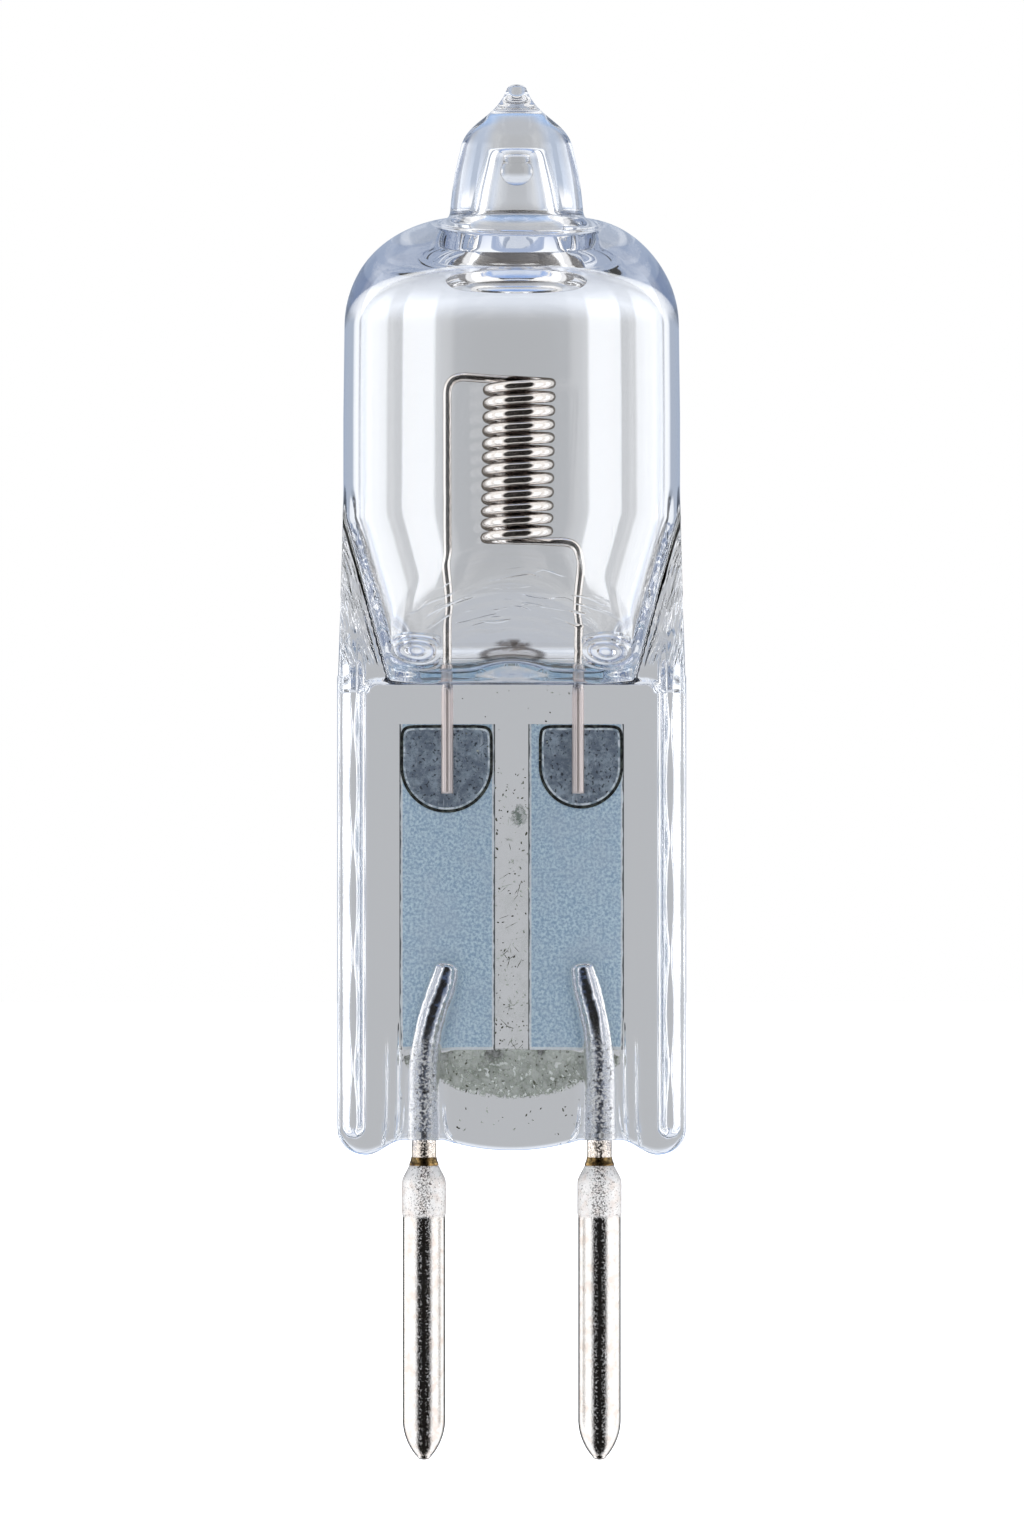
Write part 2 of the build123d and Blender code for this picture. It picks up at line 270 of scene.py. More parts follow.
studio = Form(
    paper=(1.0, 1.0, 1.0, 1),        # what the camera sees behind the lamp
    matte=(0.93, 0.96, 1.0, 1),      # light on dull surfaces
    dark=(0.012, 0.011, 0.010, 1),   # the unlit side that faces the lamp's front
    fill=(1.2, 1.2, 1.2, 1),
    strip=(10.0, 10.2, 10.5, 1),     # tall soft lights at the sides, as clear glass mirrors them
    farStrip=(6.0, 6.2, 6.5, 1),
    rim=(0.40, 0.47, 0.60, 1),
    sky=(0.42, 0.52, 0.78, 1),
    metalStrip=(1.25, 1.24, 1.22, 1),
    metalRim=(0.05, 0.05, 0.05, 1),
    innerFill=(0.40, 0.45, 0.55, 1),  # the same lights, mirrored inside the glass
    innerStrip=(1.45, 1.48, 1.53, 1),
    innerEdge=(0.30, 0.33, 0.40, 1),
    innerGlow=(1.0, 1.03, 1.08, 1),
    innerRear=(0.42, 0.47, 0.56, 1),
    innerSoft=(0.36, 0.42, 0.54, 1),
    deep=(0.25, 0.32, 0.47, 1),
    wireFill=(1.1, 1.08, 1.06, 1),
    wireEnd=(0.86, 0.86, 0.87, 1),
    wireEdge=(0.12, 0.11, 0.10, 1),
    veil=(0.50, 0.515, 0.54, 1),     # seen straight through the glass
    tinted=(0.44, 0.51, 0.64, 1),
    farther=(0.40, 0.44, 0.52, 1),
    glow=(1.05, 1.06, 1.08, 1),      # the side lights, seen through bent glass
    side=(0.72, 0.82, 1.0, 1),
    accent=(0.10, 0.15, 0.29, 1),
    below=(0.42, 0.60, 0.92, 1),
    above=(0.82, 0.87, 0.96, 1),
    edge=(0.30, 0.47, 0.86, 1),
)

spread = Form(  # degrees over which one light changes to the next
    levelUp=(6, 34), levelDown=(30, 50), innerUp=(26, 44),
    nearStrip=(52, 56, 79, 82), farStrip=(93, 97, 125, 130),
    front=(37, 43), rim=(132, 142), sky=(48, 70),
    metalRim=(130, 141), metalFall=(25, 65), metalWider=45,
    innerEdge=(130, 136), innerGlow=(138, 142), innerRear=(148, 153), innerFront=(22, 42),
    rearGlow=(140, 150), rearUp=(6, 16), innerBelow=(35, 60), innerSky=(40, 60),
    lines=((12, 15, 18, 22), (27, 30, 33, 37)),
    wireEnd=(112, 120), wireEdge=(136, 146), wireFront=(44, 50),
    wireUp=(52, 66), wireLimit=(66, 80),
    tinted=(14, 28), farther=(34, 46), glow=(26, 30, 41, 46), glowLevel=(2, 6), side=(58, 70),
    accent=(46, 58), accentFall=(6, 14, 24, 34), clearSide=(78, 90), below=(30, 45, 50, 60),
    above=(3, 18), edge=(28, 46),
)

deeper = {"innerSoft": (1.5, 0.6), "deep": (4.5, 0.85), "accent": (8.5, 0.7)}  # mirrorings, share
linesMix = 0.8
wireDepth = 3.5  # the wire lies behind more faces of glass than this


def past(angle, name):  # soft change over the degrees of that name
    return angle.step(*spread[name])


def makeWorld():
    world = bpy.data.worlds.new("studio")
    bpy.context.scene.world = world
    world.use_nodes = True
    tree = world.node_tree
    tree.nodes.clear()
    base = Sock(tree, None)
    x, y, z = base.add("ShaderNodeTexCoord").axes(1)
    perRadian = 180 / pi
    turn = base.math("ARCTAN2", abs(x), y * -1) * perRadian  # 0 at the front, 180 behind
    rise = base.math("ARCTAN2", z, x.away(y)) * perRadian
    fall = rise * -1
    steep = abs(rise)
    lowEnough = 1 - past(fall, "levelDown")
    level = (1 - past(rise, "levelUp")) * lowEnough
    innerLevel = (1 - past(rise, "innerUp")) * lowEnough
    near, far = turn.between(*spread.nearStrip), turn.between(*spread.farStrip)

    path = tree.nodes.new("ShaderNodeLightPath")
    light = {name: Sock(tree, path.outputs[name]) for name in (
        "Is Camera Ray", "Is Singular Ray", "Glossy Depth", "Diffuse Depth", "Transmission Depth")}

    # mirrored by clear glass: two soft strips on each side
    clear = layered(studio, studio.fill, [
        (near * level, "strip"), (far * level, "farStrip"), (past(turn, "rim"), "rim"),
        (1 - past(turn, "front"), "dark"), (past(rise, "sky"), "sky")])

    # mirrored by bare metal: dark front, bright sides, dark rear
    wider = turn - past(fall, "metalFall") * spread.metalWider
    metal = layered(studio, studio.fill, [
        ((near + far) * level, "metalStrip"), (past(turn, "metalRim"), "metalRim"),
        (1 - past(wider, "front"), "dark")])
    outer = light["Is Singular Ray"].tint(metal, clear)

    # mirrored inside thick glass, and by metal in it
    lines = sum(fall.between(*band) for band in spread.lines)
    inner = layered(studio, studio.innerFill, [
        ((near + far) * innerLevel, "innerStrip"), (past(turn, "innerEdge"), "innerEdge"),
        (past(turn, "innerGlow"), "innerGlow"), (past(turn, "innerRear"), "innerRear"),
        (past(turn, "rearGlow") * past(rise, "rearUp"), "innerGlow"), (1 - past(turn, "innerFront"), "dark"),
        (past(fall, "innerBelow"), "veil"), (past(rise, "innerSky"), "sky"), (lines * linesMix, "accent")])
    inner = layered(studio, inner, [
        ((light["Glossy Depth"] > depth) * share, name) for name, (depth, share) in deeper.items()])

    # mirrored by the wire in the bulb
    wire = layered(studio, studio.wireFill, [
        ((near + far) * level, "innerStrip"), (past(turn, "wireEnd"), "wireEnd"),
        (past(turn, "wireEdge"), "wireEdge"), (1 - past(turn, "wireFront"), "dark"),
        (past(steep, "wireUp"), "wireFill")])
    inBulb = (light["Transmission Depth"] > wireDepth) * (1 - past(steep, "wireLimit"))
    inner = inBulb.tint(inner, wire)

    # seen only through the glass: a grey veil, then the pale sides
    away = 180 - turn
    veil = layered(studio, studio.veil, [
        (past(away, "tinted"), "tinted"), (past(away, "farther"), "farther"),
        (away.between(*spread.glow) * (1 - past(steep, "glowLevel")), "glow"), (past(away, "side"), "side"),
        (past(away, "accent") * fall.between(*spread.accentFall), "accent"),
        (past(away, "clearSide"), "veil"), (fall.between(*spread.below), "below"),
        (past(rise, "above"), "above"), (past(rise, "edge"), "edge")])

    color = (light["Transmission Depth"] > 0.5).tint(outer, inner)
    color = (light["Glossy Depth"] > 0.5).tint(veil, color)
    color = (light["Diffuse Depth"] > 0.5).tint(color, studio.matte)
    color = light["Is Camera Ray"].tint(color, studio.paper)
    back = base.add("ShaderNodeBackground", Color=color, Strength=1.0)
    output = tree.nodes.new("ShaderNodeOutputWorld")
    tree.links.new(back.socket, output.inputs["Surface"])
    print("studio light set")


floorCard = Form(
    half=0.6, segments=24, glow=0.9, grain=(900.0, 2.0),
    color=(0.93, 0.93, 0.93, 1), white=(1, 1, 1, 1),
)


def makeFloor():
    f = floorCard
    clearSelection()
    low = cadBox[0][2]
    bpy.ops.mesh.primitive_grid_add(
        x_subdivisions=f.segments, y_subdivisions=f.segments, size=2 * f.half, location=(0, 0, low))
    floor = bpy.context.active_object
    bpy.ops.object.transform_apply()
    floor.name = "studioFloor"
    material, place = newMaterial("paleFloor")
    feed(material, Base_Color=place.noise(*f.grain).tint(f.color, f.white), Roughness=0.9,
         Emission_Color=f.white, Emission_Strength=f.glow)
    floor.data.materials.append(material)
    floor.visible_glossy = False
    floor.visible_transmission = False
    print("floor at", low)


bounces = {"max_bounces": 24, "transmission_bounces": 24, "glossy_bounces": 16}


def setView():
    bpy.context.scene.view_settings.view_transform = "Standard"
    for name, count in bounces.items():
        setattr(bpy.context.scene.cycles, name, count)


# lathe work: a chain of points spun round an upright axis

def latheObject(profile, axisX, steps, smoothAngle, closed=False):
    clearSelection()
    bpy.ops.mesh.primitive_plane_add(size=mm)
    piece = bpy.context.active_object
    editAll()
    bpy.ops.mesh.merge(type="CENTER")
    spots = [Vector((axisX + r, 0, z)) * mm for r, z in profile]
    if closed:
        spots.append(spots[0])
    bpy.ops.transform.translate(value=spots[0])
    for start, end in zip(spots, spots[1:]):
        bpy.ops.mesh.extrude_region_move(TRANSFORM_OT_translate={"value": end - start})
    bpy.ops.mesh.select_all(action="SELECT")
    bpy.ops.mesh.spin(steps=steps, angle=2 * pi, center=(axisX * mm, 0, 0), axis=(0, 0, 1))
    mergeDoubles(1e-7)
    bpy.ops.object.shade_smooth_by_angle(angle=radians(smoothAngle))
    return piece


# contact pins

pinForm = Form(
    spacing=6.35, radius=0.771, length=7.4, steps=96, smooth=50,
    mouth=((0, 1.81), (0.505, 1.81), (0.535, 1.79)), mouthPull=((0.675, 1.5), (0.807, 1.36)),
    collar=(0.807, 1.12), collarFoot=(0.807, 0.07),
    groove=((0.799, 0.03), (0.777, 0.0), (0.771, -0.03)),
    pointPull=((0.771, -7.95), (0.52, -8.45)), point=(0.25, -8.74), pointRound=0.11,
    matte=(-0.12, 0.06), band=(0.12, 0.42), stripe=(0.02, 0.12, 0.25, 0.33),
    plate=(0.90, 0.88, 0.87, 1), warm=(0.82, 0.75, 0.71, 1), fleckAndReflection=(0.05, 0.04, 0.035, 1),
)


def pinMaterial():
    p = pinForm
    material, place = newMaterial("nickelPlate")
    x, _, z = place.axes()
    collar = z.step(*p.matte)  # matte length above the contact wall
    grain = place.noise(15000.0, 3.0, 0.8)
    pits = place.noise(13000.0, 3.0, 0.7)
    warm = place.noise(2600.0, 3.0).step(0.45, 0.7)
    off = abs(abs(x) - p.spacing / 2)
    band = 1 - off.step(*p.band)
    glint = pits.step(0.53, 0.60) * (off.between(*p.stripe) * 0.32 + band * collar * 0.2) + collar * 0.55
    # dark flecks on the matte collar: real pits, painted denser in the middle band where the dark front is
    # mirrored, so partly painted reflection
    fleckAndReflection = (grain + band * 0.09).step(0.60, 0.63) * collar
    color = layered(p, p.plate, [(warm, "warm"), (fleckAndReflection, "fleckAndReflection")])
    rough = collar * 0.24 + grain.step(0.55, 0.72) * 0.08 + 0.06
    return feed(material, Base_Color=color, Metallic=1 - glint, Roughness=rough,
                Normal=(grain * (collar * 1.6 + 0.35)).bump(0.5, 0.04))


def makePins():
    p = pinForm
    material = pinMaterial()
    profile = list(p.mouth)
    profile += bezier(profile[-1], *p.mouthPull, p.collar, 10)
    profile += line(profile[-1], p.collarFoot, 4)
    profile += p.groove
    profile += line(profile[-1], (p.radius, -p.length), 6)
    profile += bezier(profile[-1], *p.pointPull, p.point, 14)
    profile += arc((0, p.point[1]), (p.point[0], p.pointRound), 0, -90, 6)
    for side, sign in sides:
        piece = latheObject(profile, sign * p.spacing / 2, p.steps, p.smooth)
        finishPiece(piece, f"contactPin.{side}", [f"pin_{side}"], material)


# braze at the pins' mouths

brazeForm = Form(
    steps=72, smooth=60,
    profile=((0.40, 1.80), (0.53, 1.80), (0.535, 1.84), (0.515, 1.90), (0.485, 1.97), (0.468, 2.05),
                (0.456, 2.10), (0.40, 2.10)),
    look=dict(grain=(5200.0, 3.0), share=(0.35, 0.65), metallic=1.0, rough=(0.2, 0.2), bump=(0.4, 0.03),
                 colors=((0.46, 0.30, 0.12, 1), (0.06, 0.035, 0.015, 1))),
)


def makeBraze():
    b = brazeForm
    material = grainMaterial("brazedBrass", **b.look)
    for side, sign in sides:
        piece = latheObject(b.profile, sign * pinForm.spacing / 2, b.steps, b.smooth, closed=True)
        finishPiece(piece, f"brazeRing.{side}", [f"braze_ring_{side}"], material)


# wires: a round section along a smooth route

def wireObject(points, roundness):
    clearSelection()
    bpy.ops.curve.primitive_nurbs_path_add()
    curve = bpy.context.active_object.data
    curve.splines.clear()
    spline = curve.splines.new("POLY")
    spline.points.add(len(points) - 1)
    for spot, (x, y, z, radius) in zip(spline.points, points):
        spot.co = (x * mm, y * mm, z * mm, 1)
        spot.radius = radius
    curve.dimensions = "3D"
    curve.bevel_depth = mm
    curve.bevel_resolution = roundness
    curve.use_fill_caps = True
    curve.twist_mode = "MINIMUM"
    bpy.ops.object.convert(target="MESH")
    mergeDoubles(1e-8)
    bpy.ops.object.shade_smooth()
    return bpy.context.active_object


def roundedRoute(corners, rounds, step, bends=14):  # straight runs with soft corners
    route = [Vector(corners[0])]
    for before, here, after, reach in zip(corners, corners[1:], corners[2:], rounds):
        before, here, after = Vector(before), Vector(here), Vector(after)
        start = here + (before - here).normalized() * reach
        end = here + (after - here).normalized() * reach
        for n in range(bends + 1):
            t = n / bends
            route.append(start * (1 - t) ** 2 + here * 2 * t * (1 - t) + end * t * t)
    route.append(Vector(corners[-1]))
    filled = [route[0]]
    for start, end in zip(route, route[1:]):
        count = max(1, int((end - start).length / step))
        filled += [start.lerp(end, n / count) for n in range(1, count + 1)]
    return filled


# outer leads

leadForm = Form(
    radius=0.447, low=0.6, bend=6.3, kink=8.2, top=9.12, step=0.12, roundness=12,
    kinkX={"left": 2.52, "right": 2.70}, topX={"left": 2.28, "right": 2.50},
    bendReach=1.5, kinkReach=0.42, domed=0.3, domeRows=9, domeEnd=0.45,
    etched=(5.2, 7.2), bare=(2.6, 3.0), band=(0.20, 0.34), speckBand=(0.28, 0.42),
    bright=(0.97, 0.96, 0.95, 1), dented=(0.90, 0.88, 0.86, 1),
    warm=(0.82, 0.68, 0.56, 1), speck=(0.06, 0.05, 0.045, 1),
)


def leadMaterial():
    f = leadForm
    material, place = newMaterial("drawnMolybdenum")
    x, _, z = place.axes()
    lower = 1 - z.step(*f.etched)  # etched and speckled below the foil
    bare = 1 - z.step(*f.bare)  # below the glass
    grain = place.noise(7500.0, 4.0, 0.65)
    dents = place.noise(2100.0, 2.0)
    pits = place.noise(11000.0, 3.0, 0.6)
    speck = grain.step(0.54, 0.68)
    off = abs(abs(x) - pinForm.spacing / 2)
    glint = pits.step(0.5, 0.56) * (1 - off.step(*f.band)) * lower * 0.8
    # dark specks: real pits, painted only in the band where the dark front is mirrored, so partly painted
    # reflection
    specksAndReflection = speck * (1 - off.step(*f.speckBand)) * lower
    color = layered(f, f.bright, [(dents, "dented"), (bare * 0.6, "warm"), (specksAndReflection * 0.9, "speck")])
    height = dents * 1.4 + grain * (lower * 0.7 + 0.15)
    rough = lower * 0.1 + speck * 0.05 + 0.1
    return feed(material, Base_Color=color, Metallic=1 - glint,
                Roughness=rough, Normal=height.bump(0.5, 0.06))


def makeLeads():
    f = leadForm
    material = leadMaterial()
    for side, sign in sides:
        x = sign * pinForm.spacing / 2
        route = roundedRoute(
            [(x, 0, f.low), (x, 0, f.bend), (sign * f.kinkX[side], 0, f.kink),
             (sign * f.topX[side], 0, f.top)],
            [f.bendReach, f.kinkReach], f.step)
        tip = route[-1]
        ahead = (tip - route[-4]).normalized()
        points = [(*spot, f.radius) for spot in route[:-1] if (spot - tip).length > f.domed]
        for n in range(f.domeRows):
            bend = radians(90 * n / (f.domeRows - 1))
            spot = tip - ahead * f.domed * (1 - sin(bend))
            points.append((*spot, f.radius * mixed(f.domeEnd, 1, cos(bend))))
        piece = wireObject(points, f.roundness)
        finishPiece(piece, f"leadWire.{side}", [f"lead_{side}"], material)


# glass envelope: an outer skin and the cavity inside it

glassForm = Form(
    bulbRadius=6.09, bulbWall=0.61, wallLow=25.35, flankLow=28.8,
    crown=36.05, crownRound=3.9, crownInset=0.0414,
    pinchHalf=6.3, pinchTop=19.5, finTop=25.6, finEase=(-0.4, 1.1),
    finEdge=1.12, finSwell=0.28, finReach=1.3, finBlend=0.12,
    webDepth=1.12, railSide=0.8, railFlat=6.17, railFade=(20, 25),
    barX=5.70, barHalf=0.38, barLow=3.29, barSlope=1.8, barEdge=0.24,
    barWave=(0.09, 4.1), barFade=(19.0, 21.5),
    windowHalf=5.23, windowTop=19.27, windowCorner=0.36, windowEdge=(-0.14, 0.02),
    windowNear=1,
    ribRadius=1.31, ribFlare=0.3, ribFall=0.5, ribTop=8.3, ribBlend=0.06,
    ribBend=(4.7, 8.6), ribKink=(8.2, 9.4), ribShift=0.2,
    creaseX=(4.5, 4.06), creaseFlare=0.22, creaseFall=0.7, creaseRise=0.06, creaseWide=0.045,
    creaseTop=(4.6, 7.4),
    footMiddle=5.25, footLow=2.21, valley=2.75, middleLow=2.37,
    valleyIn=2.455, valleyOut=3.895, footRound=0.95,
    edgeMiddle=0.22, edgeFoot=0.36, edgeGrow=(3.9, 5.0),
    wedgeLow=(1.7, 19.27), wedgeHigh=(6.09, 23.1), wedgeBlend=0.5,
    slantLow=(4.58, 19.6), slantHigh=(6.09, 25.2),
    around=280, sideTurn=0.1, fineSteps=4000, closer=((5.70, 0.5, 1.4), (4.3, 0.35, 1.5)),
    edgeRows=8, footRows=14, pinchRows=44, throatRows=74, throatGrowth=1.35,
    straightLow=4.3, pinchEnd=18.7, roundLow=26.6, roundBlend=(25.2, 26.4),
)

stubForm = Form(  # points are a radius and a height
    shift=0.18, shiftFade=(2.74, 5.6), rootRadius=2.72, sideRows=14,
    fillet=((2.48, 0.02), (2.43, 0.10), (2.40, 0.34)),  # heights above the root
    shoulder=(2.04, 38.53), bow=0.05, tipRound=0.19,
    cone=((1.88, 39.55), (0.79, 39.63), (0.36, 40.71)),
    bead=(2.15, 34.75), beadRadius=(0.5, 0.65), beadEase=(0.12, 0.02, 0.05),
    boreShiftFade=(2.85, 5.0),
    bore=(
        ((1.65, 35.25), (1.30, 35.50), (1.18, 35.95), 14),  # mouth
        ((1.12, 36.70), (0.94, 37.40), (0.82, 37.95), 20),
        ((0.77, 38.22), (0.72, 38.40), (0.62, 38.40), 10),  # upper end
        ((0.44, 38.36), (0.42, 38.05), (0.54, 37.85), 10),  # neck of the hanging drop
        ((0.72, 37.65), (0.52, 37.20), (0.0, 37.20), 14),
    ),
)

cavityForm = Form(
    around=150, crown=35.4, corner=33.85, round=2.3,
    low=20.6, wall=0.8, floorRound=1.0, endRound=1.1, throatRows=36, floorRows=26,
    mound=(0.35, 1.0, 4.0), pit=(0.2, 0.62, 0.5), pitX=3.1,
)


def outlineLow(x):
    g = glassForm
    x = min(abs(x), g.pinchHalf)
    if x < g.valleyIn:
        return mixed(g.middleLow, g.valley, (x / g.valleyIn) ** 2)
    if x < g.valleyOut:
        return g.valley
    if x < g.footMiddle:
        t = (x - g.valleyOut) / (g.footMiddle - g.valleyOut)
        return mixed(g.valley, g.footLow, 0.5 - 0.5 * cos(pi * t))
    t = (x - g.footMiddle) / (g.pinchHalf - g.footMiddle)
    return g.footLow + g.footRound * (1 - sqrt(max(0, 1 - t * t)))


def edgeRound(x):
    g = glassForm
    return mixed(g.edgeMiddle, g.edgeFoot, smoothStep(abs(x), *g.edgeGrow))


def halfWidth(z):
    g = glassForm
    if z <= g.pinchTop:
        return g.pinchHalf
    t = (z - g.pinchTop) / (g.finTop - g.pinchTop)
    return mixed(g.pinchHalf, g.bulbRadius, smoothStep(t, *g.finEase))


def windowReach(x, z):  # how far inside the window's upper outline a point lies
    g = glassForm
    across = g.windowHalf - abs(x)
    up = g.windowTop - z
    r = g.windowCorner
    if across < r and up < r:
        return r - hypot(r - across, r - up)
    return up


def barDepth(x, z):  # the raised bar along each side, round at its lower end
    g = glassForm
    reach = g.barHalf - hypot(abs(x) - g.barX, min(0, z - g.barLow))
    if reach <= 0:
        return 0
    size, pitch = g.barWave
    edge = g.barEdge + size * (1 - abs(cos(pi * (z - g.barLow) / pitch)))
    return g.barSlope * min(reach, edge) * (1 - smoothStep(z, *g.barFade))


def creaseDepth(x, z):  # thin ridges beside the leads
    g = glassForm
    off = abs(x) - g.creaseFlare * exp(-(z - g.footLow) / g.creaseFall)
    fade = 1 - smoothStep(z, *g.creaseTop)
    return sum(g.creaseRise * fade * hill(off - at, g.creaseWide) for at in g.creaseX)


def leadX(z, sign):  # the lead's line, which the rib follows
    g = glassForm
    kinkX = leadForm.kinkX["left" if sign < 0 else "right"]
    x = mixed(pinForm.spacing / 2, kinkX, smoothStep(z, *g.ribBend))
    return x - g.ribShift * smoothStep(z, *g.ribKink)


def ribDepth(x, z):
    g = glassForm
    off = abs(x) - leadX(z, x)
    over = max(0, z - g.ribTop)
    radius = g.ribRadius + g.ribFlare * exp(-(z - g.footLow) / g.ribFall)
    return sqrt(max(0, radius ** 2 - off * off - over * over))


def wedgeDepth(z):  # the jaws' slope from the bulb down to the pinch
    (lowY, lowZ), (highY, highZ) = glassForm.wedgeLow, glassForm.wedgeHigh
    return mixed(lowY, highY, max(0, (z - lowZ) / (highZ - lowZ)))


def throatHalf(z):  # half width of the throat between the fins
    (lowX, lowZ), (highX, highZ) = glassForm.slantLow, glassForm.slantHigh
    return mixed(lowX, highX, min(1, (z - lowZ) / (highZ - lowZ)))


def throatDepth(x, z):
    g = glassForm
    inside = 1 - (x / throatHalf(z)) ** 2
    if inside <= 0:
        return 0
    return max(0, softMin(g.bulbRadius * sqrt(inside), wedgeDepth(z), g.wedgeBlend))


def finDepth(x, z):  # the fins swell from their edges towards the throat
    g = glassForm
    inward = min(1, max(0, halfWidth(z) - abs(x)) / g.finReach)
    return g.finEdge + g.finSwell * (1 - (1 - inward) ** 2)


def skinDepth(x, z):  # half depth of the envelope at a point of its front view
    g = glassForm
    depth = g.webDepth + creaseDepth(x, z)
    if z > g.windowTop - g.windowNear:
        inWindow = smoothStep(windowReach(x, z), *g.windowEdge)
        above = softMax(finDepth(x, z), throatDepth(x, z), g.finBlend)
        depth = mixed(above, depth, inWindow)
    depth += barDepth(x, z)
    depth = softMax(depth, ribDepth(x, z), g.ribBlend) - 0.25 * g.ribBlend
    if abs(x) > g.railFlat:
        t = min(1, (abs(x) - g.railFlat) / (halfWidth(z) - g.railFlat + 1e-6))
        low = g.railSide * (1 - smoothStep(z, *g.railFade))
        depth = low + (depth - low) * sqrt(1 - t * t)
    return depth


def turns():  # stations around the envelope, closer at the bars and the creases
    g = glassForm
    steps = g.fineSteps
    total = [0.0]
    for n in range(steps):
        across = abs(cos(2 * pi * (n + 0.5) / steps)) * g.pinchHalf
        total.append(total[-1] + 1 + sum(gain * hill(across - at, wide) for at, wide, gain in g.closer))
    found = []
    n = 0
    for k in range(g.around + 1):
        want = total[-1] * k / g.around
        while n < steps - 1 and total[n + 1] < want:
            n += 1
        found.append(2 * pi * (n + (want - total[n]) / (total[n + 1] - total[n])) / steps)
    return found


def skinRow(angles, zOf, limitOf=lambda x, depth: depth, roundness=0):
    g = glassForm
    row = []
    for angle in angles:
        c, s = cos(angle), sin(angle)
        flatX = max(-1, min(1, c / cos(g.sideTurn)))
        z = zOf(flatX * g.pinchHalf)
        wide = halfWidth(z)
        x = wide * mixed(flatX, c, roundness)
        depth = limitOf(x, skinDepth(max(-wide, min(wide, x)), z))
        if asin(min(1, abs(s))) < g.sideTurn:
            depth = depth * abs(s) / sin(g.sideTurn)
        depth = mixed(depth, wide * abs(s), roundness)
        row.append((x, copysign(depth, s), z))
    return row


def outerSkin():
    g = glassForm
    angles = turns()
    rows = [skinRow(angles, outlineLow, lambda x, depth: 0.0),
            skinRow(angles, outlineLow, lambda x, depth: 0.5 * (depth - edgeRound(x)))]
    for n in range(g.edgeRows):  # rounded lower edge
        bend = radians(90 * n / (g.edgeRows - 1))
        rows.append(skinRow(
            angles,
            lambda x: outlineLow(x) + edgeRound(x) * (1 - cos(bend)),
            lambda x, depth: depth - edgeRound(x) * (1 - sin(bend))))
    for n in range(1, g.footRows + 1):
        t = n / g.footRows
        rows.append(skinRow(angles, lambda x: mixed(outlineLow(x) + edgeRound(x), g.straightLow, t)))
    for n in range(1, g.pinchRows + 1):
        z = mixed(g.straightLow, g.pinchEnd, n / g.pinchRows)
        rows.append(skinRow(angles, lambda x: z))
    for n in range(1, g.throatRows + 1):
        z = mixed(g.pinchEnd, g.roundLow, (n / g.throatRows) ** g.throatGrowth)
        rows.append(skinRow(angles, lambda x: z, roundness=smoothStep(z, *g.roundBlend)))
    return rows + turnedRows(outerProfile(), angles, stubForm.shiftFade)


def turnedRows(points, angles, fade):  # round rows, off the axis where the stub is
    rows = []
    for r, z in points:
        shift = stubForm.shift * (1 - smoothStep(max(r, 0), *fade))
        rows.append([(shift + max(r, 0) * cos(a), max(r, 0) * sin(a), z) for a in angles])
    return rows


def outerProfile():
    g = glassForm
    s = stubForm
    flankX = g.bulbRadius - g.crownInset
    center = (flankX - g.crownRound, g.crown - g.crownRound)
    points = line((g.bulbRadius, g.roundLow), (g.bulbRadius, g.flankLow), 6)
    points += line(points[-1], (flankX, center[1]), 5)
    arcEnd = degrees(acos((s.rootRadius - center[0]) / g.crownRound))
    points += arc(center, (g.crownRound,) * 2, 0, arcEnd, 30)
    root = points[-1]
    points += bezier(root, *((r, root[1] + up) for r, up in s.fillet), 10)
    foot = points[-1]
    for n in range(1, s.sideRows + 1):
        t = n / s.sideRows
        bow = s.bow * 4 * t * (1 - t)
        points.append((mixed(foot[0], s.shoulder[0], t) + bow, mixed(foot[1], s.shoulder[1], t)))
    points += bezier(s.shoulder, *s.cone, 26)
    tip = s.cone[-1]
    return points + arc((0, tip[1]), (tip[0], s.tipRound), 0, 90, 8)


def cavityFloor(x, y):
    c = cavityForm
    mound = c.mound[0] * hill(x, c.mound[1]) * hill(y, c.mound[2])
    return mound - c.pit[0] * hill(abs(x) - c.pitX, c.pit[1]) * hill(y, c.pit[2])


def cavityRow(angles, z, inset, share):  # one level of the cavity between the sloped walls
    g = glassForm
    c = cavityForm
    level = max(z, c.low)
    across = throatHalf(level) - g.bulbWall - inset
    limit = (wedgeDepth(level) - c.wall) * share
    wall = (g.bulbRadius - g.bulbWall) * share
    row = []
    for angle in angles:
        y = softMin(wall * abs(sin(angle)), limit, g.wedgeBlend * share) if share > 0 else 0
        row.append((across * cos(angle), copysign(max(0, y), sin(angle)), z))
    return row


def cavitySkin():
    c = cavityForm
    low, top = c.low, glassForm.wallLow
    angles = [2 * pi * n / c.around for n in range(c.around + 1)]
    rows = []
    for n in range(c.floorRows + 1):  # rounded floor, from its middle line outwards
        turn = pi / 2 * n / c.floorRows
        ring = cavityRow(
            angles, low - c.floorRound * cos(turn), c.endRound * (1 - sin(turn)), sin(turn))
        rows.append([(x, y, z + cavityFloor(x, y) * cos(turn)) for x, y, z in ring])
    for n in range(1, c.throatRows + 1):
        rows.append(cavityRow(angles, mixed(low, top, n / c.throatRows), 0, 1))
    return rows + turnedRows(cavityProfile(), angles, stubForm.boreShiftFade)


